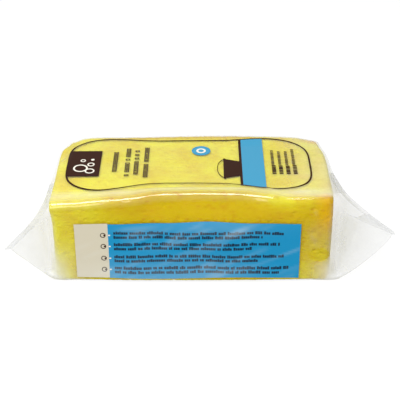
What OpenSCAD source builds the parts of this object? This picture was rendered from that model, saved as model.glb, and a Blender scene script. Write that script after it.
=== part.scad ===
// Jumbo cleaning sponge, sealed in a clear printed film wrapper with side gussets.
// The foam block lies loose inside a closed tube of film. At each end the film comes down from the
// top and up from the bottom to a flat weld, and the narrow sides fold inwards between the two sheets.
// Millimetres. The origin is the centre of the underside, +X runs the long way, +Z is up and the side
// with the text panel faces -Y.

/* [Sponge] */
// Length of the foam block
sponge_l = 200; // [150:1:260]
// Width of the foam block
sponge_w = 92; // [80:1:120]
// Height of the foam block
sponge_h = 69; // [60:1:90]
// Radius of the block's four upright corners
upright_r = 8; // [5:0.5:12]
// Radius of the edges round the block's two ends
end_edge_r = 5; // [2:0.5:7]
// Radius of the two bottom edges and the top back edge
long_edge_r = 2.4; // [1.5:0.1:4]

/* [Squeezed front edge] */
// Radius of the top front edge at the left end, where the film pulls it down
front_edge_left_r = 8; // [3:0.5:10]
// Radius of the same edge at the middle
front_edge_mid_r = 4; // [2:0.5:8]
// Radius of the same edge at the right end
front_edge_right_r = 6.5; // [3:0.5:10]

/* [Film] */
// Thickness of one layer of film
film_t = 0.3; // [0.2:0.05:0.5]
// Clearance between the film and the foam
film_gap = 0.3; // [0.2:0.05:0.8]
// Width of the flat weld along each end
weld_w = 5; // [3:0.5:8]
// Thickness of the weld, where four layers meet
weld_t = 1.2; // [1.2:0.1:2]
// How far the weld bows in towards the foam between its tucks
weld_bow = 5; // [1:0.5:6]
// How far the narrow sides tuck in between the top and bottom sheets, along the weld
tuck_depth = 30; // [20:1:34]
// Distance from the top of the film to the upper fold of a tucked side
tuck_top = 9; // [8.5:0.5:16]
// Distance from the underside to the lower fold of a tucked side
tuck_bottom = 4; // [3.5:0.5:12]
// Distance from the middle to the free edge of the lapped seam along the underside
seam_y = 3; // [-20:1:20]
// Depth of the step along that edge
seam_step = 0.12; // [0.05:0.01:0.15]

/* [Right end] */
// How far the weld stands off the foam at its front corner
right_front_reach = 42; // [25:1:60]
// How far the weld stands off the foam at its back corner
right_back_reach = 8; // [6:1:30]
// Height of the weld above the underside
right_weld_z = 38; // [26:1:45]

/* [Left end] */
// How far the weld stands off the foam at its front corner
left_front_reach = 31; // [20:1:60]
// How far the weld stands off the foam at its back corner
left_back_reach = 8; // [6:1:30]
// Height of the weld above the underside
left_weld_z = 28; // [26:1:45]

/* [Top print] */
// Thickness of the ink
ink_t = 0.1; // [0.05:0.01:0.2]
// Distance from the foam's left end to the waisted outline
outline_margin_left = 7.5; // [5:0.5:20]
// Distance from the foam's right end to the waisted outline
outline_margin_right = 12.5; // [6:0.5:20]
// Distance from the foam's long sides to the waisted outline
outline_margin_y = 8.5; // [8:0.5:16]
// Width of the outline's line
outline_line = 1.2; // [0.5:0.1:2]
// Share of the outline's half width that the waist takes away at the front
outline_front_waist = 0.32; // [0:0.01:0.35]
// Share of the outline's half width that the waist takes away at the back
outline_back_waist = 0.12; // [0:0.01:0.35]
// Length of the dark panel at the left end of the outline
panel_l = 24.5; // [15:0.5:30]
// Width of the dark panel
panel_w = 38; // [20:0.5:45]
// Length of the blue band across the outline
band_l = 16.5; // [8:0.1:25]
// Distance from the band to the right end of the outline
band_inset = 35; // [25:1:50]
// Width of the dark line along the band's left side
band_line = 1.9; // [0.8:0.1:3]
// Radius of the blue dot
dot_r = 6.8; // [3:0.1:9]
// Distance from the band to the middle of the blue dot
dot_inset = 29.8; // [28:0.1:45]

/* [Side print] */
// Distance from the foam's left end to the pale block
side_left_margin = 16; // [12:1:30]
// Distance from the foam's right end to the blue panel
side_right_margin = 23; // [12:1:40]
// Length of the pale block
side_block_l = 24; // [10:1:40]
// Distance from the underside to the print
side_bottom_margin = 4; // [2.8:0.1:8]
// Distance from the top of the film to the print
side_top_margin = 20.7; // [14:0.1:30]

/* [Hidden] */

foam_colour = [0.90, 0.76, 0.14];
film_colour = [0.93, 0.94, 0.93, 0.35];
black_colour = [0.16, 0.09, 0.08];
blue_colour = [0.16, 0.62, 0.85];
white_colour = [0.90, 0.87, 0.78];

// The film's outside, worked out from the foam, the clearance and the film's thickness
skin = film_gap + film_t;
film_half_w = sponge_w / 2 + skin;
film_top_z = sponge_h + 2 * skin;
film_half_l = sponge_l / 2 + skin;
film_upright_r = upright_r + skin;

// Steps in each rounded corner of the film and the foam, and points round the outline on top
arc_steps = 5;
round_steps = 5;
outline_steps = 96;
// Width of the strip along the weld that the film is stretched over
strip_w = 0.01;
// How far the weld's band reaches back into the film
weld_overlap = 1;
// How far a tuck's cutter reaches past the film, as a share of its length
tuck_overshoot = 1.5;
// Width over which the step of the lapped seam runs out
seam_ramp = 2;

// Peanut outline on the top: its middle, half length, half width and the squareness of its ends
outline_y = 3;
outline_x = (outline_margin_left - outline_margin_right) / 2;
outline_half_l = (sponge_l - outline_margin_left - outline_margin_right) / 2;
outline_half_w = sponge_w / 2 - outline_margin_y + outline_y;
outline_square = 4.5;
outline_waist_l = 0.55;
outline_left_x = outline_x - outline_half_l;
band_right_x = outline_x + outline_half_l - band_inset;
band_left_x = band_right_x - band_l;
dot_x = band_left_x - dot_inset;
dot_y = outline_y + 0.51 * outline_half_w;
ring_share = 0.6;

// Side print: the pale block, then the blue panel, on one strip
side_left_x = -sponge_l / 2 + side_left_margin;
side_split_x = side_left_x + side_block_l;
side_right_x = sponge_l / 2 - side_right_margin;
side_low_z = side_bottom_margin;
side_high_z = film_top_z - side_top_margin;

// Pail silhouette that stands on the band's dark line
pail_base_half = 10.5;
pail_rim_half = 14;
pail_h = 10.5;
pail_handle_rise = 0.45;
pail_line = 1;
pail_y = outline_y - 7;

// Soap bubbles on the dark panel, each [distance from the panel's right side, y, radius]
bubbles = [[9, -5, 6], [16.5, 4.5, 3.6], [7.5, 7.5, 2.4]];
bubble_line = 1.1;

function unit(v) = v / norm(v);
function mix(a, b, t) = a * (1 - t) + b * t;
// Smooth rise from 0 to 1
function ease(t) = t * t * (3 - 2 * t);

// Radius of the squeezed top front edge at a place from -1, left, to 1, right
function front_edge_r(place) =
    place < 0
        ? mix(front_edge_mid_r, front_edge_left_r, ease(-place))
        : mix(front_edge_mid_r, front_edge_right_r, ease(place));

// Quarter of a circle from an angle
function arc(centre, r, from) =
    [for (i = [0:arc_steps]) let (a = from + 90 * i / arc_steps) centre + r * [cos(a), sin(a)]];

// Rounded section in Y and Z, with a radius of its own at the top front corner
function section(half_w, half_h, front_r, long_r) = concat(
    arc([-half_w + long_r, -half_h + long_r], long_r, 180),
    arc([half_w - long_r, -half_h + long_r], long_r, 270),
    arc([half_w - long_r, half_h - long_r], long_r, 0),
    arc([-half_w + front_r, half_h - front_r], front_r, 90)
);

// How far a rounded corner of radius r has drawn in, at a distance from its end
function drawn_in(distance, r) = distance >= r ? 0 : r - sqrt(r * r - (r - distance) * (r - distance));

// Section of the foam at x, grown on every side, as the base of a pyramid whose point lies inside
module foam_section(x, grow) {
    distance = sponge_l / 2 + grow - abs(x);
    half_w = sponge_w / 2 + grow - drawn_in(distance, upright_r + grow);
    half_h = sponge_h / 2 + grow - drawn_in(distance, end_edge_r + grow);
    translate([x, 0, film_top_z / 2]) mirror([x > 0 ? 1 : 0, 0, 0]) rotate([90, 0, 90])
        linear_extrude(sponge_h / 2, scale = 0)
            polygon(section(half_w, half_h, front_edge_r(x / (sponge_l / 2)) + grow, long_edge_r + grow));
}

// What the foam is stretched over, grown on every side: sections at its two rounded ends, and a cone
// whose rim rounds the squeezed edge at its middle
module foam_frame(grow) {
    r = upright_r + grow;
    edge_r = front_edge_mid_r + grow;
    translate([0, -sponge_w / 2 - grow + edge_r, skin + sponge_h + grow - edge_r])
        rotate([0, 90, 0]) cylinder(edge_r, edge_r, 0, $fn = 32);
    for (side = [-1, 1]) for (i = [0:round_steps])
        foam_section(side * (sponge_l / 2 + grow - r * (1 - cos(90 * i / round_steps))), grow);
}

// Soft foam block that fills the wrapper
module sponge() {
    color(foam_colour) hull() foam_frame(0);
}

// Values of one end of the film, where side is 1 at the right and -1 at the left
function front_reach(side) = side > 0 ? right_front_reach : left_front_reach;
function back_reach(side) = side > 0 ? right_back_reach : left_back_reach;
function weld_z(side) = side > 0 ? right_weld_z : left_weld_z;

// X of the weld's inner edge at a given y. It bows in towards the foam, and bends where each tuck ends.
function weld_x(side, y) =
    let (
        reach = mix(back_reach(side), front_reach(side), (film_half_w - y) / (2 * film_half_w)),
        bow = weld_bow * min(1, (film_half_w - abs(y)) / tuck_depth)
    )
    side * (film_half_l + reach - bow);

// Band along the weld, between two distances from its inner edge, over a run of y
module weld_band(side, from, to, places, thick) {
    last = len(places) - 1;
    translate([0, 0, weld_z(side)]) linear_extrude(thick, center = true)
        polygon(concat(
            [for (y = places) [weld_x(side, y) + side * from, y]],
            [for (i = [last:-1:0]) [weld_x(side, places[i]) + side * to, places[i]]]
        ));
}

// Places along Y where the weld starts, bends and ends
function weld_places(inset) =
    let (edge = film_half_w - inset, bend = film_half_w - tuck_depth)
    [-edge, -bend, bend, edge];

// Point where the film leaves the foam's rounded upright corner on its way to a point p of the weld.
// The corner is a circle in plan, and the line from p touches it.
function leaving_point(side, end, p) =
    let (
        centre = [side * (film_half_l - film_upright_r), end * (film_half_w - film_upright_r)],
        away = p - centre,
        ahead = unit(away),
        across = side * end * [-ahead[1], ahead[0]],
        share = film_upright_r / norm(away)
    )
    centre + film_upright_r * (share * ahead + sqrt(1 - share * share) * across);

// Corners of a tuck, where end is -1 at the front and 1 at the back: the side folds in along the line
// from the foam's corner to the weld, and its two flaps rise and fall from there to the weld's corner
function tuck_corners(side, end) =
    let (
        z = weld_z(side),
        deep_y = end * (film_half_w - tuck_depth),
        deep = [weld_x(side, deep_y), deep_y, z],
        tip = [weld_x(side, end * film_half_w), end * film_half_w, z],
        leaving = leaving_point(side, end, [deep[0], deep[1]]),
        upper = [leaving[0], leaving[1], film_top_z - tuck_top],
        lower = [leaving[0], leaving[1], tuck_bottom]
    )
    [deep, for (corner = [upper, lower, tip]) deep + tuck_overshoot * (corner - deep)];

function triangle_area(a, b, c) = norm(cross(b - a, c - a)) / 2;

// Four-cornered solid, with every face moved out by grow
module four_corners(p, grow) {
    areas = [triangle_area(p[1], p[2], p[3]), triangle_area(p[0], p[2], p[3]),
             triangle_area(p[0], p[1], p[3]), triangle_area(p[0], p[1], p[2])];
    total = areas * [1, 1, 1, 1];
    middle = (areas[0] * p[0] + areas[1] * p[1] + areas[2] * p[2] + areas[3] * p[3]) / total;
    turn = (p[1] - p[0]) * cross(p[2] - p[0], p[3] - p[0]);
    inner_r = abs(turn) / 2 / total;
    points = [for (corner = p) middle + (1 + grow / inner_r) * (corner - middle)];
    faces = [[0, 1, 2], [0, 2, 3], [0, 3, 1], [1, 3, 2]];
    polyhedron(points, [for (f = faces) turn > 0 ? f : [f[0], f[2], f[1]]]);
}

// Everything inside the film's outer face, or inside its inner face when inset is one layer: the film
// is stretched from the foam to each straight run of the weld in turn
module film_inside(inset) {
    stop = inset > 0 ? inset + weld_overlap : 0;
    places = weld_places(inset);
    difference() {
        for (run = [0:len(places) - 2]) hull() {
            foam_frame(skin - inset);
            for (side = [-1, 1])
                weld_band(side, -strip_w - stop, -stop, [places[run], places[run + 1]],
                    weld_t - 2 * inset);
        }
        for (side = [-1, 1]) for (end = [-1, 1])
            four_corners(tuck_corners(side, end), inset);
    }
}

// Clear film, one closed skin round the foam, with a flat weld along each end and a lapped seam
module film_wrapper() {
    flat_l = 2 * (film_half_l - film_upright_r);
    color(film_colour) difference() {
        union() {
            film_inside(0);
            for (side = [-1, 1])
                weld_band(side, -weld_overlap, weld_w, weld_places(0), weld_t);
        }
        film_inside(film_t);
        translate([0, seam_y, 0]) rotate([90, 0, 90]) linear_extrude(flat_l, center = true)
            polygon([[0, -seam_step], [0, seam_step], [2 * seam_ramp, -seam_step]]);
    }
}

// Point of the waisted outline at an angle: a squared ellipse drawn in at its middle, grown by grow
function outline_point(angle, grow) =
    let (
        c = cos(angle),
        s = sin(angle),
        x = (outline_half_l + grow) * sign(c) * pow(abs(c), 2 / outline_square),
        share = s < 0 ? outline_front_waist : outline_back_waist,
        waist = share * exp(-pow(x / (outline_waist_l * outline_half_l), 4)),
        y = (outline_half_w + grow) * sign(s) * pow(abs(s), 2 / outline_square) * (1 - waist)
    )
    [outline_x + x, outline_y + y];

module outline_shape(grow = 0) {
    polygon([for (i = [0:outline_steps - 1]) outline_point(360 * i / outline_steps, grow)]);
}

// A drawing on top of the film, one coat of ink high
module on_top() {
    translate([0, 0, film_top_z]) linear_extrude(ink_t) children();
}

// A drawing on the front of the film, from its left and bottom, one coat of ink high
module on_front() {
    translate([0, -film_half_w, 0]) rotate([90, 0, 0]) linear_extrude(ink_t) children();
}

module panel_shape() {
    intersection() {
        outline_shape();
        translate([outline_left_x, outline_y - panel_w / 2]) square([panel_l, panel_w]);
    }
}

module band_shape(left, right) {
    intersection() {
        outline_shape();
        translate([left, outline_y - outline_half_w]) square([right - left, 2 * outline_half_w]);
    }
}

module ring(r, line) {
    difference() {
        circle(r, $fn = 40);
        circle(r - line, $fn = 40);
    }
}

// White rings in the dark panel, like three soap bubbles
module bubble_shapes() {
    for (b = bubbles)
        translate([outline_left_x + panel_l - b[0], outline_y + b[1]]) ring(b[2], bubble_line);
}

// Pail seen from its side, standing on the band's dark line with its handle up
module pail_shape() {
    translate([band_left_x - band_line, pail_y]) {
        polygon([[0, -pail_base_half], [0, pail_base_half],
                 [-pail_h, pail_rim_half], [-pail_h, -pail_rim_half]]);
        translate([-pail_h, 0]) intersection() {
            scale([pail_handle_rise, 1]) ring(pail_rim_half, pail_line);
            translate([-pail_rim_half, -pail_rim_half]) square([pail_rim_half, 2 * pail_rim_half]);
        }
    }
}

// Dark ink: the outline, the panel, the line along the band and the pail
module black_ink() {
    color(black_colour) on_top() {
        difference() {
            outline_shape(outline_line);
            outline_shape();
        }
        difference() {
            panel_shape();
            bubble_shapes();
        }
        band_shape(band_left_x - band_line, band_left_x);
        pail_shape();
    }
}

// Blue ink: the band and the dot on top, and the panel behind the text on the side
module blue_ink() {
    color(blue_colour) {
        on_top() {
            band_shape(band_left_x, band_right_x);
            difference() {
                translate([dot_x, dot_y]) circle(dot_r, $fn = 64);
                translate([dot_x, dot_y]) ring(ring_share * dot_r, bubble_line);
            }
        }
        on_front() translate([side_split_x, side_low_z])
            square([side_right_x - side_split_x, side_high_z - side_low_z]);
    }
}

// White ink: the rings on top and the pale block on the side
module white_ink() {
    color(white_colour) {
        on_top() {
            bubble_shapes();
            translate([dot_x, dot_y]) ring(ring_share * dot_r, bubble_line);
        }
        on_front() translate([side_left_x, side_low_z])
            square([side_split_x - side_left_x, side_high_z - side_low_z]);
    }
}

sponge();
film_wrapper();
black_ink();
blue_ink();
white_ink();
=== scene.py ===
import math
import bpy
import numpy as np
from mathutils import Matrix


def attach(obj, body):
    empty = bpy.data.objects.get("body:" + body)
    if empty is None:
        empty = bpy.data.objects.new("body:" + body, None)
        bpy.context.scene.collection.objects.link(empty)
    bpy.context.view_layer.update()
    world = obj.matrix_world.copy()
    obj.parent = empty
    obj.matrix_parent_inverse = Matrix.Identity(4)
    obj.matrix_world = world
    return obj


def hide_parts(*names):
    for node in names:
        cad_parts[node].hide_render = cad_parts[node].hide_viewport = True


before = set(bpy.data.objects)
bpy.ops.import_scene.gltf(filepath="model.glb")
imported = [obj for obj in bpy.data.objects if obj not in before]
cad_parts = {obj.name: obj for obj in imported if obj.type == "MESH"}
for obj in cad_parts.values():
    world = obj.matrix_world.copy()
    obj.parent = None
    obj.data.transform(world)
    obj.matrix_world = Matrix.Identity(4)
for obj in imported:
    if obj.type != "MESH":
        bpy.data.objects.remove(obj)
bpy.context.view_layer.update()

# A jumbo foam sponge in a clear printed film wrapper. All shapes are worked out in millimetres, in the
# axes of the part: +X the long way, -Y the side with the printed panel, +Z up, the underside at z = 0.

# Outside of the film round the foam, the radius of its edges, the clearance to the foam, and the radius
# of the top front edge at places along X
HALF_L, HALF_W, TOP = 100.6, 46.6, 70.2
EDGE_R = 3.0
SKIN = 0.6
FRONT_EDGE_R = [(-99, 5.0), (-60, 5.0), (0, 4.2), (55, 6.0), (97, 6.5)]
# Points of half its plain section: on a side, round an edge, over the flat, and round a weld's rim.
# Then the steps of a line of film: along the block, round the turn to an end, and over the end.
SIDE_N, EDGE_N, FLAT_N = 27, 9, 80
RIM_N = EDGE_N + 1
BLOCK_N, TURN_N, LOOSE_N = 176, 12, 56

# Ends of the film, right and left: how far the weld reaches past the foam at its front and its back
# corner, its height, how much higher its front corner lies, and how far it bows in between the two
ENDS = {1: (41.4, 5.0, 37.0, 3.4, 5.5), -1: (29.4, 8.0, 28.0, 0.6, 7.0)}
# Width of a weld and of the rim at its corners, and the heights of its outer layer and of a tuck's ply
WELD_W, WELD_RIM, LAYER, PLY = 5.0, 1.5, 0.32, 0.1
# How deep a tuck goes, how far it begins below the top and above the underside, and the height of its
# fold line in the middle and how much higher that is at the right end
TUCK_DEPTH, TUCK_TOP, TUCK_BOTTOM = 30.0, 9.0, 4.0
FOLD_Z, FOLD_RISE = 31.5, 3.5
# How close to the ground a hanging sheet comes
FLOOR_GAP = 0.05
# Length on which the film turns from the foam's side to its end, and the share of an end that the
# turn takes
TURN, TURN_SHARE = 5.0, 0.14
# How far an end's upper sheet sags, its lower sheet bulges, and the front of the lower one hangs, by side
SAG, BULGE, HANG = 2.2, 1.2, {1: 7.4, -1: 1.8}
# Share of the weld's width that is gone at its front corner, by side, and how far along it
BLUNT, BLUNT_REACH = {1: 0.5, -1: 0.0}, 4.0

# How the tight film squeezes the foam along the top front edge: how far the edge drops, and how far it
# is pressed in, at places along X. The film stands off a little along the top back edge.
EDGE_DROP = [(-104, 5.2), (-85, 3.9), (-55, 1.4), (-25, -1.0), (30, -1.0), (52, 0), (66, 1.0), (85, 0.3),
             (104, 0)]
EDGE_INSET = [(-104, 0), (-70, 0.5), (-45, 1.8), (-20, 5.6), (5, 6.6), (35, 6.0), (60, 3.4), (85, 2.6),
              (104, 3.2)]
BACK_RISE = [(-104, 0), (-75, 0), (25, 1.5), (80, 0.8), (104, 0)]

# Corners that the film pulls: where, how far round it reaches, and how far it moves
PULLS = [((-100, 46, 70), 13, (4.5, -2.0, -3.5)),
         ((-100, -46, 70), 14, (-2.2, 0, 0)),
         ((100, 46, 70), 18, (-3.6, -1.5, -2.2))]

# Folds in the film, each from one point to another on it, with a half width and a height
FOLDS = [
    ((-97, -30, 70.2), (-96, -46, 62), 2.0, 0.8),
    ((-24, -46.6, 27), (-4, -46.6, 45), 2.2, 0.35),
    ((22, -46.6, 37), (42, -46.6, 47), 2.4, 0.35),
    ((-58, -46.6, 44), (-20, -46.6, 47), 2.0, 0.25),
    ((83, -46.6, 44), (90, -46.6, 30), 1.6, 0.5),
    ((86, -46.6, 61), (88, -46.6, 56), 1.2, 0.6),
    ((60, -40, 70.2), (92, -36, 70.2), 1.8, 0.4),
    ((48, -30, 70.2), (66, -42, 70.2), 1.6, 0.35),
    ((-99, -10, 70.2), (-93, 22, 70.2), 2.4, 0.4),
]

# The foam block's radii at its upright edges, along its ends and along its sides. Pores are scattered
# one to a cell: the cell's size, the share of cells without one, and the pore's depth. Its radius is
# PORE_R plus its own random number times PORE_MORE. Then the fine roughness, its height and its size.
UPRIGHT_R, END_R, LONG_R = 5.0, 4.0, 1.8
PORE_CELL, NO_PORE, PORE_DEPTH, PORE_R, PORE_MORE = 4.4, 0.45, 0.8, 0.7, 1.1
ROUGH_HIGH, ROUGH_CELL = 0.35, 2.4


def eased(x, knots):
    """Value at x that passes through (x, value) knots, and is level at each: between two knots it
    follows 3t^2 - 2t^3."""
    places, values = np.array(knots, float).T
    i = np.clip(np.searchsorted(places, x) - 1, 0, len(places) - 2)
    t = np.clip((x - places[i]) / (places[i + 1] - places[i]), 0, 1)
    return values[i] + (values[i + 1] - values[i]) * t * t * (3 - 2 * t)


def step(x, low, high):
    """0 below low, 1 above high, and 3t^2 - 2t^3 in between."""
    t = np.clip((x - low) / (high - low), 0, 1)
    return t * t * (3 - 2 * t)


def lattice_noise(p, size, seed):
    """Smooth noise from 0 to 1: random values on a lattice with cells of the given size in mm (one
    number or three), blended across each cell by 3t^2 - 2t^3."""
    cells = 32
    table = np.random.default_rng(seed).random((cells, cells, cells))
    q = p / np.asarray(size, float) + 1000
    cell = np.floor(q).astype(int)
    t = q - cell
    t = t * t * (3 - 2 * t)
    total = 0
    for corner in np.ndindex(2, 2, 2):
        share = np.prod(np.where(np.array(corner) == 1, t, 1 - t), axis=-1)
        i, j, k = np.moveaxis((cell + corner) % cells, -1, 0)
        total = total + share * table[i, j, k]
    return total


def nearest_pore(p, size, seed):
    """Distance to the nearest of the points that are scattered one to a cell, in mm, and that point's
    own random number."""
    rng = np.random.default_rng(seed)
    cells = 24
    places, numbers = rng.random((cells, cells, cells, 3)), rng.random((cells, cells, cells))
    cell = np.floor(p / size).astype(int)
    nearest = np.full(p.shape[:-1], 1e9)
    number = np.zeros(p.shape[:-1])
    for corner in np.ndindex(3, 3, 3):
        here = cell + corner - 1
        i, j, k = np.moveaxis(here % cells, -1, 0)
        distance = np.linalg.norm((here + places[i, j, k]) * size - p, axis=-1)
        number = np.where(distance < nearest, numbers[i, j, k], number)
        nearest = np.minimum(distance, nearest)
    return nearest, number


def along_fold(p, a, b):
    """Distance from a fold's line a-b, and how far along it, as a rise and fall from 0 to 1 and back."""
    a, b = np.array(a, float), np.array(b, float)
    t = ((p - a) @ (b - a)) / ((b - a) @ (b - a))
    distance = np.linalg.norm(p - a - np.clip(t, 0, 1)[..., None] * (b - a), axis=-1)
    return distance, np.sin(np.pi * np.clip(t, 0.04, 0.96))


def fold_height(p, widened=1.0):
    """Height of the folds at points on the plain film: each is a bell across its line."""
    return sum(high * rise * np.exp(-(distance / (wide * widened)) ** 2)
               for a, b, wide, high in FOLDS for distance, rise in [along_fold(p, a, b)])


def slack(p):
    """How far the film stands off its plain shape: long waves of 0.3 mm round the foam, and soft
    creases of under a millimetre on the loose ends, which run from the foam to the weld."""
    x = np.abs(p[..., 0])
    loose = step(x, HALF_L + 1, HALF_L + 9)
    waves = 0.3 * lattice_noise(p, (34, 30, 17), 3) + 0.12 * lattice_noise(p, (11, 14, 9), 4)
    ridge = 1 - np.abs(2 * lattice_noise(p, (46, 13, 15), 5) - 1)
    crumple = 0.3 * ridge ** 3 + lattice_noise(p, (34, 22, 22), 6) - 0.5
    return (1 - loose) * waves + loose * crumple


def squeezed(p):
    """The plain block's points, moved as the tight film pulls them: the top drops towards the front
    edge, the front leans in towards its top and stands out at its foot, the front and the top belly by
    a quarter of a millimetre, and the corners are pulled, each by a bell of the distance from it."""
    x, y, z = np.moveaxis(p, -1, 0)
    front, back, high = step(-y, 14, 45), step(y, 28, 46), step(z, 42, 68)
    drop = eased(x, EDGE_DROP) * front ** 2 * high
    inset = eased(x, EDGE_INSET) * step(-y, 24, 45) * step(z, 38, 69) ** 2
    rise = eased(x, BACK_RISE) * back * high
    fade = 1 - step(np.abs(x), HALF_L, HALF_L + 25)
    belly = 0.5 * (lattice_noise(p, (60, 50, 40), 9) - 0.5)
    foot = 1.5 * front * (1 - step(z, 0, 18)) * (1 - step(np.abs(x), 40, 98))
    moved = np.stack([x, y - foot + fade * (inset + belly * front),
                      z + fade * (rise - drop - belly * high * step(z, 60, 70))], -1)
    for place, reach, pull in PULLS:
        near = np.exp(-((p - place) ** 2).sum(-1) / reach ** 2)
        moved = moved + near[..., None] * pull
    return moved


def normals_of(grid):
    """Outward unit normals of a grid of points whose second direction is a closed loop, from the cross
    product of its two directions. They are turned over if the middle half of them points inwards."""
    around = np.roll(grid, -1, 1) - np.roll(grid, 1, 1)
    n = np.cross(np.gradient(grid, axis=0), around)
    n = n / np.maximum(np.linalg.norm(n, axis=-1, keepdims=True), 1e-9)
    half = slice(len(grid) // 4, 3 * len(grid) // 4)
    return n * np.sign(np.einsum("ijk,ijk->", n[half], grid[half] - [0, 0, TOP / 2]))


def piece(name, points, faces, material, slot, smooth=True, **values):
    """A mesh piece from points in mm and lists of faces, with a named value at each point if given."""
    points = np.asarray(points, float).reshape(-1, 3)
    mesh = bpy.data.meshes.new(name)
    mesh.from_pydata((points / 1000).tolist(), [], faces)
    if smooth:
        mesh.shade_smooth()
    for key, value in values.items():
        given = mesh.attributes.new(key, "FLOAT", "POINT")
        given.data.foreach_set("value", np.asarray(value, np.float32).ravel())
    mesh.materials.append(material)
    made = bpy.data.objects.new(name, mesh)
    bpy.context.collection.objects.link(made)
    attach(made, "root")
    return made


def outward(points, faces):
    """The faces, all turned over if the volume they close, summed from tetrahedra to the origin, is
    negative."""
    p = np.asarray(points, float).reshape(-1, 3)
    corners = np.array([(f[0], f[k], f[k + 1]) for f in faces for k in range(1, len(f) - 1)])
    a, b, c = (p[corners[:, k]] for k in range(3))
    volume = np.einsum("ij,ij->", a, np.cross(b, c))
    return faces if volume > 0 else [tuple(reversed(f)) for f in faces]


def grid_faces(rows, columns):
    """Quads of a grid, wrapped round in its second direction."""
    index = np.arange(rows * columns).reshape(rows, columns)
    across = np.roll(index, -1, 1)
    quads = np.stack([index[:-1], index[1:], across[1:], across[:-1]], -1)
    return [tuple(q) for q in quads.reshape(-1, 4).tolist()]


def linear(code):
    """sRGB hex colour as linear RGBA."""
    c = np.array([int(code[k:k + 2], 16) for k in (1, 3, 5)]) / 255
    return (*np.where(c <= 0.04045, c / 12.92, ((c + 0.055) / 1.055) ** 2.4), 1)


def new_material(name):
    """A new material whose node tree is empty, and the tree."""
    material = bpy.data.materials.new(name)
    material.use_nodes = True
    material.node_tree.nodes.clear()
    return material, material.node_tree


def add(tree, kind, inputs=(), **settings):
    """Adds a node with its settings, and links or sets its inputs, given as {name or number: value}."""
    made = tree.nodes.new(kind)
    for key, value in settings.items():
        setattr(made, key, value)
    for key, value in dict(inputs).items():
        if isinstance(value, bpy.types.NodeSocket):
            tree.links.new(value, made.inputs[key])
        else:
            made.inputs[key].default_value = value
    return made


def mixed(tree, share, a, b):
    """A blend of two colours."""
    return add(tree, "ShaderNodeMix", {0: share, 6: a, 7: b}, data_type="RGBA").outputs[2]


def maths(tree, operation, a, b=0.0, clamp=False):
    """The result of an operation on one or two values."""
    return add(tree, "ShaderNodeMath", {0: a, 1: b}, operation=operation, use_clamp=clamp).outputs[0]


def in_mm(tree, stretch=(1, 1, 1)):
    """Object coordinates in millimetres, divided by a stretch along each axis."""
    place = add(tree, "ShaderNodeTexCoord").outputs["Object"]
    sizes = {0: place, 1: [1000 / s for s in stretch]}
    return add(tree, "ShaderNodeVectorMath", sizes, operation="MULTIPLY").outputs[0]


def output(tree, shader):
    """Makes a shader the surface of its material."""
    add(tree, "ShaderNodeOutputMaterial", {"Surface": shader})


def spread(tree, value, low, high, to_low=0.0, to_high=1.0):
    """The value's range from low to high, spread over another range and clamped to it."""
    return add(tree, "ShaderNodeMapRange", {0: value, 1: low, 2: high, 3: to_low, 4: to_high}).outputs[0]


def noise(tree, place, cell, detail=2.0):
    """Soft noise from 0 to 1, with cells of a size in mm."""
    inputs = {"Vector": place, "Scale": 1 / cell, "Detail": detail}
    return add(tree, "ShaderNodeTexNoise", inputs).outputs["Fac"]


def voronoi(tree, place, cell):
    """Distance from the middles of scattered cells of a size in mm, in cells."""
    return add(tree, "ShaderNodeTexVoronoi", {"Vector": place, "Scale": 1 / cell}).outputs["Distance"]


def value_of(tree, name):
    """The value that the mesh carries under a name."""
    return add(tree, "ShaderNodeAttribute", attribute_name=name).outputs["Fac"]


def foam_material():
    """Open-cell polyurethane foam, cut from a block: a dull lemon yellow, with painted shade that makes it
    deeper and warmer on the long sides, amber at their upper right corner, painted shade in little cells a
    millimetre or two across, a few orange flecks where cells have run together, and a soft mottling."""
    material, tree = new_material("polyurethane_foam_cut")
    place = in_mm(tree)
    cells = voronoi(tree, place, 1.5)
    grain = noise(tree, in_mm(tree, (1.6, 1, 0.8)), 2.4, 4.0)
    mottle = noise(tree, place, 20)
    flecks = voronoi(tree, in_mm(tree, (1.9, 1, 0.8)), 4.2)
    gold = value_of(tree, "gold")
    # Painted shade: the mesh's value turns the long sides a deeper, warmer yellow.
    colour = mixed(tree, gold, linear("#E2DB2E"), linear("#CAAE0D"))
    colour = mixed(tree, value_of(tree, "amber"), colour, linear("#E7A80A"))
    colour = mixed(tree, spread(tree, mottle, 0.4, 0.68, 0, 0.5), colour, linear("#D2AE1A"))
    stronger = spread(tree, gold, 0, 1, 0.5, 1)
    shown = maths(tree, "MULTIPLY", spread(tree, grain, 0.5, 0.72, 0, 0.6), stronger)
    colour = mixed(tree, shown, colour, linear("#BD8A10"))
    # Painted shade in the pores: darker towards the middle of each little cell.
    colour = mixed(tree, spread(tree, cells, 0.05, 0.32, 0.3, 0), colour, linear("#B98A10"))
    shown = maths(tree, "MULTIPLY", spread(tree, flecks, 0.1, 0.28, 0.55, 0), gold)
    colour = mixed(tree, shown, colour, linear("#B9741A"))
    bump = add(tree, "ShaderNodeBump", {
        "Height": maths(tree, "ADD", cells, grain), "Strength": 0.5, "Distance": 0.0005}).outputs[0]
    surface = add(tree, "ShaderNodeBsdfPrincipled", {
        "Base Color": colour, "Roughness": 0.95, "IOR": 1.45, "Specular IOR Level": 0.1, "Normal": bump})
    output(tree, surface.outputs[0])
    return material


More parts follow.
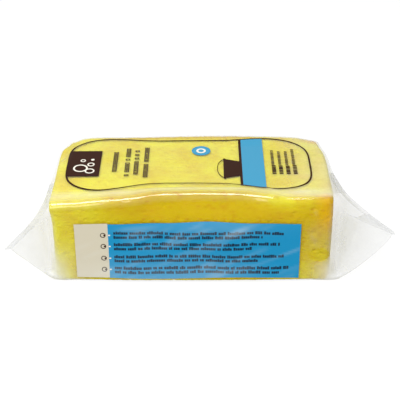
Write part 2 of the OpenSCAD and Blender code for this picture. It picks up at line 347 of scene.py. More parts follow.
def film_material():
    """Cast polypropylene film, 0.04 mm thick, clear and glossy. It mirrors little of what it faces, more at
    a slant and most where it is drawn taut over the top front edge. It is milky where it is welded or
    stands off the foam, with painted sheen where it is creased and a painted reflection in a strip behind
    the top front edge."""
    material, tree = new_material("polypropylene_film_clear")
    facing = add(tree, "ShaderNodeLayerWeight", {"Blend": 0.5}).outputs["Facing"]
    cloud = noise(tree, in_mm(tree, (2.2, 1, 1)), 16)
    grain = noise(tree, in_mm(tree, (1.5, 1.5, 1)), 1.3)
    cover = maths(tree, "ADD", maths(tree, "ADD", cloud, 0.38), maths(tree, "MULTIPLY", grain, 0.25))
    milk = maths(tree, "MULTIPLY", value_of(tree, "haze"), cover, clamp=True)
    slant = maths(tree, "MULTIPLY", maths(tree, "POWER", facing, 5.0), 0.3)
    shine = maths(tree, "ADD", slant, spread(tree, value_of(tree, "taut"), 0, 1, 0.006, 0.07))
    shine = maths(tree, "MULTIPLY", shine, maths(tree, "SUBTRACT", 1.0, milk))
    clear = add(tree, "ShaderNodeBsdfTransparent", {"Color": (0.981, 0.982, 0.982, 1)})
    milky = linear("#F6F7F8")
    near = add(tree, "ShaderNodeBsdfDiffuse", {"Color": milky})
    through = add(tree, "ShaderNodeBsdfTranslucent", {"Color": milky})
    scatter = add(tree, "ShaderNodeMixShader", {0: 0.5, 1: near.outputs[0], 2: through.outputs[0]})
    body = add(tree, "ShaderNodeMixShader", {0: milk, 1: clear.outputs[0], 2: scatter.outputs[0]})
    gloss = add(tree, "ShaderNodeBsdfGlossy", {"Color": (1, 1, 1, 1), "Roughness": 0.1})
    both = add(tree, "ShaderNodeMixShader", {0: shine, 1: body.outputs[0], 2: gloss.outputs[0]})
    output(tree, both.outputs[0])
    return material


def ink_material(name, code, gloss=0.12):
    """Printing ink under glossy film: an even coat of one colour, a little cloudy, and paler by a painted
    sheen where the film over it is creased."""
    material, tree = new_material(name)
    cloud = noise(tree, in_mm(tree, (2.4, 1, 1)), 14)
    # Painted sheen: the mesh's value pales the ink towards a whitish colour, by a cloudy share.
    share = maths(tree, "MULTIPLY", value_of(tree, "haze"), maths(tree, "ADD", cloud, 0.5), clamp=True)
    colour = mixed(tree, share, linear(code), linear("#E4ECEE"))
    surface = add(tree, "ShaderNodeBsdfPrincipled", {
        "Base Color": colour, "Roughness": 0.3, "IOR": 1.5, "Specular IOR Level": gloss})
    output(tree, surface.outputs[0])
    return material


FOAM = foam_material()
FILM = film_material()
DARK_INK = ink_material("ink_dark_brown", "#33180A", 0.04)
BLUE_INK = ink_material("ink_light_blue", "#178FC0")
NAVY_INK = ink_material("ink_navy", "#0E2B42")
BAND_INK = ink_material("ink_sky_blue", "#3F98BE")
WHITE_INK = ink_material("ink_white", "#EFEBDD")
CREAM_INK = ink_material("ink_cream", "#D3CBB4")
GREY_INK = ink_material("ink_grey_brown", "#4A3A1A")


def fold_line(x):
    """Height of the tucks' fold line at x."""
    return FOLD_Z + FOLD_RISE * np.clip(x / HALF_L, -1, 1)


# How far along a side, how far round an edge and how far over the flat the points of a half section lie
SIDE = np.linspace(1, 0, SIDE_N)
BEND = np.radians(np.linspace(0, 90, EDGE_N))
FLAT = (np.linspace(-1, 1, FLAT_N + 2)[1:-1] + 1) / 2


def upper_half(x):
    """The upper half of the film's plain section at places x: from the fold line at the front, up the
    side, round the edge, over the top and down to the fold line at the back. Returns y and z with a row
    for each x, and for each point its share down the tuck, its y and its layer's height on the weld."""
    x = np.asarray(x, float)[:, None]
    one = np.ones_like(x)
    crease_z, shoulder_z = fold_line(x), TOP - TUCK_TOP
    r = eased(x, FRONT_EDGE_R)
    side_z = crease_z + (shoulder_z - crease_z) * (1 - SIDE)
    y = np.concatenate([
        -HALF_W * one * np.ones(SIDE_N),
        -HALF_W * one,
        -HALF_W + r * (1 - np.cos(BEND)),
        (-HALF_W + r) * (1 - FLAT) + (HALF_W - EDGE_R) * FLAT,
        HALF_W - EDGE_R * (1 - np.cos(BEND[::-1])) * one,
        HALF_W * one,
        HALF_W * one * np.ones(SIDE_N)], 1)
    z = np.concatenate([
        side_z,
        (shoulder_z + TOP - r) / 2 * one,
        TOP - r + r * np.sin(BEND),
        TOP * one * np.ones(FLAT_N),
        TOP - EDGE_R + EDGE_R * np.sin(BEND[::-1]) * one,
        (shoulder_z + TOP - EDGE_R) / 2 * one,
        side_z[:, ::-1]], 1)
    rim = np.arange(1, RIM_N + 1) / RIM_N
    tuck = np.concatenate([SIDE, np.zeros(2 * RIM_N + FLAT_N), SIDE[::-1]])
    weld_y = np.concatenate([
        -HALF_W + TUCK_DEPTH * SIDE,
        -HALF_W + WELD_RIM * rim,
        (2 * FLAT - 1) * (HALF_W - WELD_RIM),
        HALF_W - WELD_RIM * rim[::-1],
        HALF_W - TUCK_DEPTH * SIDE[::-1]])
    ply, rise = PLY * (1 - SIDE), PLY + (LAYER - PLY) * rim
    layer = np.concatenate([ply, rise, LAYER * np.ones(FLAT_N), rise[::-1], ply[::-1]])
    return y, z, tuck, weld_y, layer


def lower_half(x):
    """The lower half, the same way: the upper half's numbers with the heights of the lower one."""
    y, _, tuck, weld_y, layer = upper_half(x)
    x = np.asarray(x, float)[:, None]
    one = np.ones_like(x)
    crease_z = fold_line(x)
    low_side = crease_z + (TUCK_BOTTOM - crease_z) * (1 - SIDE)
    low_edge = (EDGE_R - EDGE_R * np.sin(BEND)) * one
    between = (TUCK_BOTTOM + EDGE_R) / 2 * one
    underside = np.zeros((len(x), FLAT_N))
    z = np.concatenate([
        low_side, between, low_edge, underside, low_edge[:, ::-1], between, low_side[:, ::-1]], 1)
    edge_y = -HALF_W + EDGE_R * (1 - np.cos(BEND)) * one
    flat_y = (-HALF_W + EDGE_R) * (1 - FLAT) + (HALF_W - EDGE_R) * FLAT
    front_y, back_y = y[:, :SIDE_N + 1], y[:, -SIDE_N - 1:]
    y = np.concatenate([front_y, edge_y, flat_y * one, -edge_y[:, ::-1], back_y], 1)
    return y, z, tuck, weld_y, -layer


def closed_section(upper, lower):
    """A whole section's rows, from the upper half's and the lower half's that run the same way."""
    return np.concatenate([upper, lower[:, -2:0:-1]], 1)


def weld_place(side, y):
    """X and height of the weld's inner edge at y: straight between its corners, bowed in by half a
    sine, with its front corner lifted and a slow wave in its height."""
    front, back, z, lift, bow = ENDS[side]
    s = (y + HALF_W) / (2 * HALF_W)
    x = side * (HALF_L + back * s + front * (1 - s) - bow * np.sin(np.pi * np.clip(s, 0, 1)))
    return x, z + lift * (1 - s) ** 2 + 0.5 * np.sin(5.2 * s + side)


def end_rows(side):
    """Rows of film from the foam's end to the weld's outer edge, for one end. Every line of film turns
    at the foam's end on a quadratic curve. With v from 0 at the foam to 1 at the weld, and t from 0 at a
    tuck's upper or lower corner to 1 at its fold line, a tuck is the pair of triangles that meet on the
    fold t = v, which a smooth maximum of t and v rounds off. Elsewhere the line is straight. The upper
    sheet sags by half a sine of v, and the lower one hangs by half an ellipse of v. The weld's front
    corner is blunt, by a bell across it."""
    halves = []
    for half in (upper_half, lower_half):
        y, z, t, weld_y, layer = half([side * (HALF_L - TURN)])
        y, z = y[0], z[0]
        n = len(t)
        corner = np.stack([np.full(n, side * HALF_L), y, z], -1)
        front = np.arange(n) < n / 2
        edge_y = np.where(front, -HALF_W, HALF_W)
        tucked = t > 0
        shoulder = corner[np.where(front, SIDE_N - 1, n - SIDE_N)]
        top_corner = np.where(tucked[:, None], shoulder, corner)
        fold = np.stack([np.full(n, side * HALF_L), edge_y, np.full(n, z[0])], -1)
        tip_y = np.where(tucked, edge_y, weld_y)
        tip_x, tip_z = weld_place(side, tip_y)
        tip = np.stack([tip_x, tip_y, tip_z + np.where(tucked, PLY * np.sign(layer[n // 2]), layer)], -1)
        deep_y = np.where(front, -HALF_W + TUCK_DEPTH, HALF_W - TUCK_DEPTH)
        deep_x, deep_z = weld_place(side, deep_y)
        deep = np.stack([deep_x, deep_y, deep_z], -1)
        tt = t[:, None]
        sheet = np.where(tucked, 0, 1) * (1 - (weld_y / HALF_W) ** 2)
        sag = np.where(layer >= 0, -SAG, BULGE) * sheet
        hang = HANG[side] * np.where(layer < 0, 1, 0) * (1 - t) ** 2 * step(-weld_y, -20, 40)

        def at(v):
            """The row at v."""
            m = 0.5 * (tt + v + np.sqrt((tt - v) ** 2 + 0.5 * tt * v * (1 - tt) * (1 - v)))
            p = top_corner * (1 - m) + fold * (m - v) + tip * (m - tt) + deep * (tt + v - m)
            p[:, 2] += math.sin(math.pi * v) * sag - math.sqrt(4 * v * (1 - v)) * hang
            p[:, 2] = np.maximum(p[:, 2], FLOOR_GAP)
            return p

        start = corner - [side * TURN, 0, 0]
        rows = []
        for s in np.linspace(0, 1, TURN_N)[1:]:
            rows.append((1 - s) ** 2 * start + 2 * s * (1 - s) * corner + s * s * at(TURN_SHARE))
        for v in np.linspace(TURN_SHARE, 1, LOOSE_N)[1:]:
            rows.append(at(v))
        inner = rows[-1]
        middle = weld_place(side, weld_y)[1]
        for out in (0.25, 0.5, 0.75, 0.9, 1.0):
            last = inner.copy()
            blunt = 1 - BLUNT[side] * np.exp(-((last[:, 1] + HALF_W) / BLUNT_REACH) ** 2)
            last[:, 0] += side * WELD_W * out * blunt
            last[:, 2] += (middle - last[:, 2]) * (1 - math.sqrt(1 - (0.95 * out) ** 4))
            last[:, 2] += 0.5 * np.sin(0.11 * last[:, 1] + 2 * side) * out
            rows.append(last)
        halves.append(np.array(rows))
    return closed_section(*halves)


def film_haze(p):
    """How milky the film is at plain points p: evenly so over the top, and more at its right end and its
    back edge, with a painted reflection in a strip behind its front edge; clear where it clings to the
    front, and milky round the lower front corners but for one clear lens on the right, on the ends and on
    the weld. The folds add painted sheen."""
    x, y, z = np.moveaxis(p, -1, 0)
    ends = step(np.abs(x), 98, 110)
    on_top = step(z, 66, 70) * step(y, -46, -42)
    on_front = step(-y, 42, 46) * (1 - step(z, 60, 68))
    right = step(x, 40, 75)
    # Painted reflection: a pale strip behind the top front edge, stronger on the left.
    strong = 0.32 + 0.08 * step(-x, 20, 70) - 0.1 * right
    strip = strong * np.exp(-((y + 38.0) / (3.4 + 2.6 * right)) ** 2)
    top = 0.18 + 0.22 * step(x, 56, 94) + 0.14 * step(x, 86, 100) + 0.12 * step(y, 36, 46) + strip
    front = 0.04 * step(-x, 62, 92) + 0.34 * step(-x, 70, 96) * (1 - step(z, 0, 46))
    front = front + 0.1 * step(x, 74, 90) * (1 - step(z, 44, 58))
    front = front + 0.06 * step(x, 50, 90) * (1 - step(z, 6, 24))
    front = front + 0.24 * step(x, 82, 98) * (1 - step(z, 6, 34))
    front = front + np.where(x > 0, 0.36, 0.66) * step(np.abs(x), 86, 100) * (1 - step(z, 0, 34))
    # Milky border along the upright edges, partly painted light over the shade of the foam's rounded
    # corners.
    front = front + 0.3 * step(np.abs(x), 95, 101)
    lens = 1 - step(np.hypot((x - 91) / 8, (z - 23.4) / 6), 0.8, 1.15)
    haze = (1 - ends) * (on_top * top + on_front * front * (1 - 0.9 * lens))
    cloud = 0.19 + 0.18 * lattice_noise(p, (40, 26, 26), 31)
    cloud = cloud * (1 - 0.6 * step(np.abs(x), 106, 134)) * (1 - 0.35 * step(y, 0, 30))
    haze = haze + ends * cloud * np.where(x > 0, 0.75, 1.15 - 0.35 * (1 - step(z, 6, 36)))
    for side in (-1, 1):
        edge, _ = weld_place(side, y)
        haze = haze + 0.03 * step(side * (x - edge), -4, 3) * (side * x > HALF_L)
    # The folds add a painted sheen to the milk.
    return np.clip(haze + 0.2 * fold_height(p), 0, 0.9)


def crease_haze(p):
    """How much a painted sheen pales the ink at plain points p: along the folds and in a few slanting
    streaks.
    """
    across = p @ np.array([0.42, 0.0, -0.9])
    along = (p[..., 0] + p[..., 2]) * 0.12
    streak = lattice_noise(np.stack([across, np.ones_like(across), along], -1), (3.2, 1, 3.0), 21)
    return np.clip(0.4 * fold_height(p, 1.2) + 0.3 * np.maximum(streak - 0.6, 0), 0, 1)


def film_piece():
    """The wrapper as one closed skin: the plain section carried along X, with an end's rows at each
    end, its weld closed from the upper to the lower half. Its own 0.04 mm is too thin to draw."""
    xs = np.linspace(-HALF_L + TURN, HALF_L - TURN, BLOCK_N)
    uy, uz, *_ = upper_half(xs)
    ly, lz, *_ = lower_half(xs)
    y, z = closed_section(uy, ly), closed_section(uz, lz)
    straight = np.stack([np.repeat(xs[:, None], y.shape[1], 1), y, z], -1)
    grid = np.concatenate([end_rows(-1)[::-1], straight, end_rows(1)])
    # The weld itself lies flat: the slack fades out over the last rows at each end
    from_start = np.arange(len(grid))
    loose = 1 - np.exp(-np.minimum(from_start, from_start[::-1]) / 9.0)
    lift = slack(grid) * loose[:, None] + fold_height(grid)
    haze = film_haze(grid)
    x, y, z = np.moveaxis(grid, -1, 0)
    taut = step(-y, 32, 42) * step(z, TOP - 6.5, TOP - 3) * (1 - step(np.abs(x), 96, 101))
    taut = taut * (1 - 0.75 * step(x, 40, 70))
    points = squeezed(grid + normals_of(grid) * lift[..., None])
    rows, columns = grid.shape[:2]
    faces = grid_faces(rows, columns)
    count = uy.shape[1]
    for ring, flip in ((0, False), ((rows - 1) * columns, True)):
        for i in range(count - 1):
            across = [(columns - i - 1) % columns, (columns - i) % columns]
            loop = [ring + k for k in dict.fromkeys([i, i + 1] + across)]
            faces.append(tuple(loop if flip else loop[::-1]))
    return piece("film", points, outward(points, faces), FILM, "film", haze=haze, taut=taut)


def foam_piece():
    """The foam block: its rounded section carried along X, drawn in on a quarter circle at the rounded
    ends, then in rings down to the middle of each end face. Pores are bowls pressed into it, and the
    whole is squeezed as the film is."""
    half_l, half_w, half_h = HALF_L - SKIN, HALF_W - SKIN, TOP / 2 - SKIN
    # Rows round an upright edge, on an end face and along the block
    turn = np.radians(np.linspace(0, 90, 12))[1:]
    face = np.linspace(1, 0, 34)[1:-1]
    xs = np.linspace(-half_l + UPRIGHT_R, half_l - UPRIGHT_R, 196)
    around_x = half_l - UPRIGHT_R + UPRIGHT_R * np.sin(turn)
    end_x = np.full(len(face), half_l)
    x = np.concatenate([-end_x, -around_x[::-1], xs, around_x, end_x])
    share = np.concatenate([face[::-1], np.ones(len(xs) + 2 * len(turn)), face])[:, None]

    def cut_at_ends(radius, round_edge):
        """How far the section is drawn in, row by row: by the radius on an end face, and less round its
        edge."""
        flat = np.full(len(face), radius)
        return np.concatenate([flat, round_edge[::-1], np.zeros(len(xs)), round_edge, flat])

    cut_y = cut_at_ends(UPRIGHT_R, UPRIGHT_R - UPRIGHT_R * np.cos(turn))
    into_edge = np.clip(END_R - (half_l - around_x), 0, END_R)
    cut_z = cut_at_ends(END_R, END_R - np.sqrt(END_R ** 2 - into_edge ** 2))
    w, h = (half_w - cut_y)[:, None], (half_h - cut_z)[:, None]
    r_front = eased(x, FRONT_EDGE_R)[:, None] - SKIN
    r = LONG_R * np.ones_like(r_front)
    # Points of a section: round an edge, up a side and over a flat
    bend = np.radians(np.linspace(0, 90, 8))
    upright_run, flat_run = np.linspace(0, 1, 66)[1:-1], np.linspace(0, 1, FLAT_N + 2)[1:-1]

    def arc(cy, cz, radius, start):
        """A quarter circle round a middle, from a starting angle."""
        return [cy + radius * np.cos(start + bend), cz + radius * np.sin(start + bend)]

    def line(y0, z0, y1, z1, run):
        """Points in between two corners."""
        return [y0 + (y1 - y0) * run, z0 + (z1 - z0) * run]

    quarter = math.pi / 2
    runs = [arc(-w + r, -h + r, r, 2 * quarter),
            line(-w + r, -h, w - r, -h, flat_run),
            arc(w - r, -h + r, r, 3 * quarter),
            line(w, -h + r, w, h - r, upright_run),
            arc(w - r, h - r, r, 0),
            line(w - r, h, -w + r_front, h, flat_run),
            arc(-w + r_front, h - r_front, r_front, quarter),
            line(-w, h - r_front, -w, -h + r, upright_run)]
    y = np.concatenate([run[0] for run in runs], 1) * share
    z = np.concatenate([run[1] for run in runs], 1) * share + TOP / 2
    grid = np.stack([np.repeat(x[:, None], y.shape[1], 1), y, z], -1)
    distance, number = nearest_pore(grid, PORE_CELL, 11)
    radius = PORE_R + PORE_MORE * number
    pore = np.where(number > NO_PORE, np.clip(1 - (distance / radius) ** 2, 0, 1), 0)
    depth = PORE_DEPTH * pore + ROUGH_HIGH * lattice_noise(grid, ROUGH_CELL, 12)
    points = squeezed(grid - normals_of(grid) * depth[..., None])
    rows, columns = points.shape[:2]
    faces = grid_faces(rows, columns)
    poles = squeezed(np.array([[-half_l, 0, TOP / 2], [half_l, 0, TOP / 2]]))
    points = np.concatenate([points.reshape(-1, 3), poles])
    first, last = rows * columns, rows * columns + 1
    ring = np.arange(columns)
    faces += [(first, int(b), int(a)) for a, b in zip(ring, np.roll(ring, -1))]
    ring = ring + (rows - 1) * columns
    faces += [(last, int(a), int(b)) for a, b in zip(ring, np.roll(ring, -1))]
    x, y, z = np.moveaxis(np.concatenate([grid.reshape(-1, 3), poles]), -1, 0)
    front = step(np.abs(y), 38, 44)
    # Painted shade: the long sides get the deeper, warmer colour, less of it at the left end and at the
    # foot where more light falls, and little below the top edge on the right.
    gold = front * (0.05 + 0.95 * step(x, -96, -36)) * (0.4 + 0.6 * step(z, 4, 50))
    gold = gold * (1 - 0.9 * step(z, 56, 66) * np.exp(-((x - 66) / 20) ** 2))
    amber = 0.6 * front * step(x, 82, 97) * step(z, 34, 56)
    return piece("foam_block", points, outward(points, faces), FOAM, "foam", gold=gold, amber=amber)


# Height of the ink's underside above the film, the same for ink over other ink, the thickness of a coat,
# and the spacing of the points in a plain rectangle
LIFT, OVER, INK_T, PITCH = 0.08, 0.2, 0.06, 1.5

# Places of the print. Soap bubbles: middle, radius and line. Columns of frames: their four sides. The
# middle of the dot, and the pail's middle and depth. The dark panel's right side, front and back, the
# left side of the dark line, and the band's left and right side. On the front: the left side of the
# pale block, where the blue panel begins and ends, the rings' heights, and the rows of bars with their
# left end, and for each its height and right end.
BUBBLES = [(-82.0, -4.0, 5.4, 1.3), (-75.0, -8.0, 3.6, 1.1), (-74.8, 1.6, 2.7, 1.0), (-81.0, 7.2, 2.0, 0.9),
           (-74.0, 8.6, 1.3, 1.3)]
BAR_COLUMNS = [(-58.8, -55.4, -9, 20.5), (-49.7, -46.3, -17.8, 27.4), (-43.1, -39.8, -12.9, 22.5),
               (-36.0, -32.6, -16.8, 27.4)]
DOT = (6.2, 22.3)
PAIL_Y, PAIL_DEEP = -4.1, 10.5
PANEL_RIGHT, PANEL_FRONT, PANEL_BACK = -67.8, -15.8, 22
LINE_LEFT, BAND_LEFT, BAND_RIGHT = 34.4, 36.3, 52.6
BLOCK_LEFT, BLUE_LEFT, BLUE_RIGHT = -84, -60.2, 77.2
RING_ROWS = (40.1, 30.7, 20.6, 11.1)
TEXT_LEFT = -56.3
TEXT_ROWS = [(41.7, 65), (38.2, 49.5), (32.2, 62), (28.7, 42), (22.0, 65), (18.5, 47), (12.4, 68.4),
             (8.9, 62)]


def on_top(x, y, lift):
    """Points on the film's top at x and y, a lift above it."""
    p = np.stack([x, y, np.full(np.shape(x), TOP)], -1)
    raised = p + np.array([0, 0, 1.0]) * (slack(p) + fold_height(p) + lift)[..., None]
    return squeezed(raised), crease_haze(p) * 0.2


def on_front(x, z, lift):
    """Points on the film's front at x and z, a lift in front of it. The print is paler at its foot on
    the left and at its top in the middle, a painted reflection where the film stands off."""
    p = np.stack([x, np.full(np.shape(x), -HALF_W), z], -1)
    raised = p - np.array([0, 1.0, 0]) * (slack(p) + fold_height(p) + lift)[..., None]
    # Painted reflection: paler print at the foot on the left and at the top in the middle.
    low = 0.12 * (1 - step(z, 0, 30)) * (1 - step(x, 10, 70))
    high = 0.07 * step(z, 36, 47) * np.exp(-((x - 15) / 40) ** 2)
    return squeezed(raised), crease_haze(p) + low + high


class Print:
    """Collects coats of ink of one colour, each a closed slab of a grid on the film."""

    def __init__(self):
        self.points, self.faces, self.haze, self.count = [], [], [], 0

    def coat(self, face, a, b, closed=False, lift=LIFT):
        """A slab over a grid of places a, b on a face of the film. The grid runs round in its first
        direction if closed is true."""
        low, haze = face(a, b, lift)
        high, _ = face(a, b, lift + INK_T)
        index = np.arange(a.size).reshape(a.shape)
        if closed:
            index = np.concatenate([index, index[:1]])
        quads = np.stack([index[:-1, :-1], index[1:, :-1], index[1:, 1:], index[:-1, 1:]], -1)
        quads = quads.reshape(-1, 4)
        edges = [index[:, 0], index[::-1, -1]] + ([] if closed else [index[-1], index[0, ::-1]])
        sides = [np.stack([e[:-1], e[:-1] + a.size, e[1:] + a.size, e[1:]], -1) for e in edges]
        faces = np.concatenate([quads[:, ::-1], quads + a.size, *sides]) + self.count
        points = np.concatenate([low.reshape(-1, 3), high.reshape(-1, 3)])
        self.faces += [tuple(f) for f in faces.tolist()]
        self.points.append(points)
        self.haze += [haze.ravel(), haze.ravel()]
        self.count += len(points)

    def sheet(self, face, a0, a1, b0, b1, lift=LIFT):
        """A plain rectangle from a0 to a1 and b0 to b1."""
        a = np.linspace(a0, a1, max(2, int(abs(a1 - a0) / PITCH) + 1))
        b = np.linspace(b0, b1, max(2, int(abs(b1 - b0) / PITCH) + 1))
        self.coat(face, *np.meshgrid(a, b, indexing="ij"), lift=lift)

    def ring(self, face, a, b, outer, inner, lift=LIFT):
        """A ring, or a disc if inner is 0, round a, b."""
        angle = np.linspace(0, 2 * np.pi, 41)[:-1, None]
        radius = np.linspace(max(inner, 0.02), outer, 2 if outer - inner < 2 else 6)[None]
        self.coat(face, a + radius * np.cos(angle), b + radius * np.sin(angle), closed=True, lift=lift)

    def frame(self, face, a0, a1, b0, b1, line):
        """A rectangle's outline: four bars."""
        self.sheet(face, a0, a0 + line, b0, b1)
        self.sheet(face, a1 - line, a1, b0, b1)
        self.sheet(face, a0 + line, a1 - line, b0, b0 + line)
        self.sheet(face, a0 + line, a1 - line, b1 - line, b1)

    def done(self, name, material, slot, *nodes):
        """Makes one piece of all the coats. It takes the place of the named nodes, if any."""
        points, haze = np.concatenate(self.points), np.concatenate(self.haze)
        made = piece(name, points, outward(points, self.faces), material, slot, smooth=False, haze=haze)
        if nodes:
            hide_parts(*nodes)


# Waisted outline on the top: its middle, half length, half width, how square it is, and the share that
# the waist takes away from the front and from the back
OUTLINE_X, OUTLINE_Y, OUTLINE_L, OUTLINE_W, SQUARE = -2.7, 3.0, 89.0, 39.3, 4.5
FRONT_WAIST, BACK_WAIST = 0.285, 0.13


def waist(x, front):
    """Share of the outline's width that is gone at x from its middle: a flat-topped bell."""
    return np.where(front, FRONT_WAIST, BACK_WAIST) * np.exp(-(x / (0.55 * OUTLINE_L)) ** 4)


def outline(angle, grow):
    """Point of the outline in a direction from its middle: a squared ellipse, |x/a|^n + |y/b|^n = 1,
    grown a little on all sides and drawn in at its waist."""
    a, b = OUTLINE_L + grow, OUTLINE_W + grow
    reach = (np.abs(np.cos(angle) / a) ** SQUARE + np.abs(np.sin(angle) / b) ** SQUARE) ** (-1 / SQUARE)
    x, y = reach * np.cos(angle), reach * np.sin(angle)
    return OUTLINE_X + x, OUTLINE_Y + y * (1 - waist(x, y < 0))


def outline_side(x, front):
    """Y of the outline at x, on its front or back side."""
    from_middle = x - OUTLINE_X
    across = np.clip(np.abs(from_middle / OUTLINE_L), 0, 1)
    y = OUTLINE_W * (1 - across ** SQUARE) ** (1 / SQUARE) * (1 - waist(from_middle, front))
    return OUTLINE_Y + (-y if front else y)


def top_print():
    """The top's print: outline, dark panel with soap bubbles, blue band and dot, pail and bars."""
    dark, blue, sky, white, grey = Print(), Print(), Print(), Print(), Print()
    angle = np.linspace(0, 2 * np.pi, 541)[:-1, None]
    x, y = outline(angle, np.array([[-0.65, 0.65]]))
    dark.coat(on_top, x, y, closed=True)
    # Dark panel, whose left side is the outline's
    b = np.linspace(PANEL_FRONT, PANEL_BACK, 27)
    left = OUTLINE_X - OUTLINE_L * (1 - np.abs((b - OUTLINE_Y) / OUTLINE_W) ** SQUARE) ** (1 / SQUARE)
    share = np.linspace(0, 1, 16)[:, None]
    dark.coat(on_top, left * (1 - share) + PANEL_RIGHT * share, b + 0 * share)
    for a, b, r, line in BUBBLES:
        white.ring(on_top, a, b, r, r - line, lift=OVER)
    # Band, with the dark line along its left side
    for ink, left, right in ((dark, LINE_LEFT, BAND_LEFT), (sky, BAND_LEFT, BAND_RIGHT)):
        a = np.linspace(left, right, 12)[:, None]
        share = np.linspace(0, 1, 56)[None]
        front, back = outline_side(a, True) + 0.4, outline_side(a, False) - 0.4
        ink.coat(on_top, a + 0 * share, front * (1 - share) + back * share)
    # Pail that stands on the line
    share = np.linspace(-1, 1, 24)[None]
    deep = np.linspace(0, PAIL_DEEP, 9)[:, None]
    dark.coat(on_top, 34.6 - deep + 0 * share, PAIL_Y + share * (10.5 + 3.5 * deep / PAIL_DEEP))
    bow = np.radians(np.linspace(8, 172, 33))[:, None]
    line = np.array([[13.0, 14.0]])
    dark.coat(on_top, 24.2 - 0.45 * line * np.sin(bow), PAIL_Y + line * np.cos(bow))
    dark.sheet(on_top, 22.6, 24.2, PAIL_Y - 14.8, PAIL_Y + 14.8)
    # Dot
    sky.ring(on_top, *DOT, 6.8, 0)
    blue.ring(on_top, *DOT, 7.0, 6.3, lift=OVER)
    white.ring(on_top, *DOT, 3.6, 2.1, lift=OVER)
    # Bars that stand for the words, as columns of small frames and of plain bars
    rng = np.random.default_rng(8)
    for a0, a1, b0, b1 in BAR_COLUMNS:
        b = b0
        while b < b1 - 1.5:
            wide = 2.0 + 0.8 * rng.random()
            if rng.random() > 0.1:
                grey.frame(on_top, a0, a1, b, b + wide, 0.8)
                if rng.random() > 0.4:
                    grey.sheet(on_top, a0 + 1.35, a0 + 1.95, b + 0.7, b + wide - 0.7)
            b += wide + 0.4
    for a in (58.0, 63.1, 68.3, 73.4):
        b = -11.9
        while b < 25.4 - 4 * rng.random():
            bold = b < -0.1
            wide = 1.7 if bold else 1.2
            end = b + wide * (0.7 + 0.4 * rng.random())
            (dark if bold else grey).sheet(on_top, a, a + (2.9 if bold else 2.1), b, end)
            b += wide + 0.45
    dark.done("print_dark", DARK_INK, "black_ink", "black_ink")
    sky.done("print_band", BAND_INK, "blue_ink")
    blue.done("print_dot_rim", BLUE_INK, "blue_ink")
    white.done("print_bubbles", WHITE_INK, "white_ink")
    grey.done("print_bars", GREY_INK, "black_ink")


def side_print():
    """The side's print: pale block, blue panel with a wavy upper edge, and rows of bars for the words."""
    cream, blue, navy, white, brown = Print(), Print(), Print(), Print(), Print()
    a = np.linspace(BLOCK_LEFT, BLUE_LEFT, 17)[:, None]
    share = np.linspace(0, 1, 32)[None]
    cream.coat(on_front, a + 0 * share, 4.1 * (1 - share) + (50.3 + 0 * a) * share)
    a = np.linspace(BLUE_LEFT, BLUE_RIGHT, 94)[:, None]
    upper = 50.1 + 0.5 * np.sin(a / 16 + 1.0) + 0.3 * np.sin(a / 7.5)
    lower = 3.9 + 0.5 * np.sin(a / 19)
    blue.coat(on_front, a + 0 * share, lower * (1 - share) + upper * share)
    rng = np.random.default_rng(5)
    for z, right in TEXT_ROWS:
        x = TEXT_LEFT
        while x < right:
            for _ in range(int(rng.integers(2, 10))):
                if x > right:
                    break
                wide = 0.9 + 0.7 * rng.random()
                high = 2.5 if rng.random() < 0.35 else 1.9
                wave = 0.4 * math.sin(x / 13 + z / 9) + 0.2 * math.sin(x / 5.5)
                foot = z - 1.1 + wave
                navy.sheet(on_front, x, x + wide, foot, foot + high, lift=OVER)
                x += wide + 0.22
            x += 1.1
    for z in RING_ROWS:
        brown.ring(on_front, -63.8, z, 2.0, 1.45, lift=OVER)
        brown.ring(on_front, -62.9, z, 0.6, 0, lift=0.26)
        white.sheet(on_front, -60.0, -58.6, z - 0.5, z + 0.5, lift=0.22)
    cream.done("print_side_block", CREAM_INK, "white_ink", "white_ink")
    blue.done("print_side_panel", BLUE_INK, "blue_ink", "blue_ink")
    navy.done("print_side_bars", NAVY_INK, "black_ink")
    brown.done("print_side_rings", DARK_INK, "black_ink")
    white.done("print_side_marks", WHITE_INK, "white_ink")


foam = foam_piece()
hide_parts("sponge")
film = film_piece()
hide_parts("film_wrapper")
top_print()
side_print()


def backdrop_share(tree):
    """1 for what the camera sees directly, in a gloss or through clear film."""
    path = add(tree, "ShaderNodeLightPath")
    seen = maths(tree, "MAXIMUM", path.outputs["Is Camera Ray"], path.outputs["Is Glossy Ray"])
    return maths(tree, "MAXIMUM", seen, path.outputs["Is Transmission Ray"])


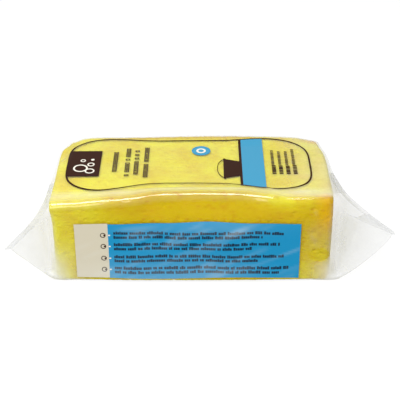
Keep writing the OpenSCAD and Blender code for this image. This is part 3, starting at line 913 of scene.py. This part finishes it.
def studio():
    """A white floor, a white world that lights softly, and two soft lamps."""
    material, tree = new_material("floor_white_card")
    bright = add(tree, "ShaderNodeEmission", {"Color": (1, 1, 1, 1), "Strength": 0.86})
    dim = add(tree, "ShaderNodeBsdfDiffuse", {"Color": (0.18, 0.18, 0.18, 1)})
    seen = add(tree, "ShaderNodeAddShader", {0: bright.outputs[0], 1: dim.outputs[0]})
    card = add(tree, "ShaderNodeBsdfDiffuse", {"Color": (0.55, 0.55, 0.55, 1)})
    both = add(tree, "ShaderNodeMixShader", {
        0: backdrop_share(tree), 1: card.outputs[0], 2: seen.outputs[0]})
    output(tree, both.outputs[0])
    mesh = bpy.data.meshes.new("floor")
    reach, low = 6.0, -0.0004
    corners = [(-reach, -reach, low), (reach, -reach, low), (reach, reach, low), (-reach, reach, low)]
    mesh.from_pydata(corners, [], [(0, 1, 2, 3)])
    mesh.materials.append(material)
    floor = bpy.data.objects.new("floor", mesh)
    bpy.context.collection.objects.link(floor)

    world = bpy.data.worlds.new("studio")
    bpy.context.scene.world = world
    world.use_nodes = True
    tree = world.node_tree
    tree.nodes.clear()
    light = add(tree, "ShaderNodeBackground", {"Color": (1, 1, 1, 1), "Strength": 0.5})
    white = add(tree, "ShaderNodeBackground", {"Color": (1, 1, 1, 1), "Strength": 1.0})
    both = add(tree, "ShaderNodeMixShader", {
        0: backdrop_share(tree), 1: light.outputs[0], 2: white.outputs[0]})
    add(tree, "ShaderNodeOutputWorld", {"Surface": both.outputs[0]})

    for name, place, size, power in (("softbox_over", (-0.3, -0.45, 1.0), (1.1, 0.3), 10.4),
                                     ("softbox_front", (-0.5, -1.3, 0.7), (0.8, 0.6), 3.8)):
        lamp = bpy.data.lights.new(name, "AREA")
        lamp.shape, lamp.size, lamp.size_y = "RECTANGLE", size[0], size[1]
        lamp.energy = power
        made = bpy.data.objects.new(name, lamp)
        made.location = place
        aim = np.array([0, 0, 0.035]) - np.array(place)
        tilt = math.acos(-aim[2] / np.linalg.norm(aim))
        made.rotation_euler = (tilt, 0, math.atan2(aim[1], aim[0]) - math.pi / 2)
        bpy.context.collection.objects.link(made)


def photo_camera():
    """The photograph's view: 31.5 degrees down onto the long side, from 0.8 m."""
    down, far, target = math.radians(31.5), 0.793, (0.0054, 0.0, 0.041)
    data = bpy.data.cameras.new("camera")
    data.lens, data.sensor_width = 95.3, 36.0
    camera = bpy.data.objects.new("camera", data)
    camera.location = (target[0], target[1] - far * math.cos(down), target[2] + far * math.sin(down))
    camera.rotation_euler = (math.pi / 2 - down, 0, 0)
    bpy.context.collection.objects.link(camera)
    bpy.context.scene.camera = camera


studio()
photo_camera()
bpy.context.scene.view_settings.view_transform = "Standard"
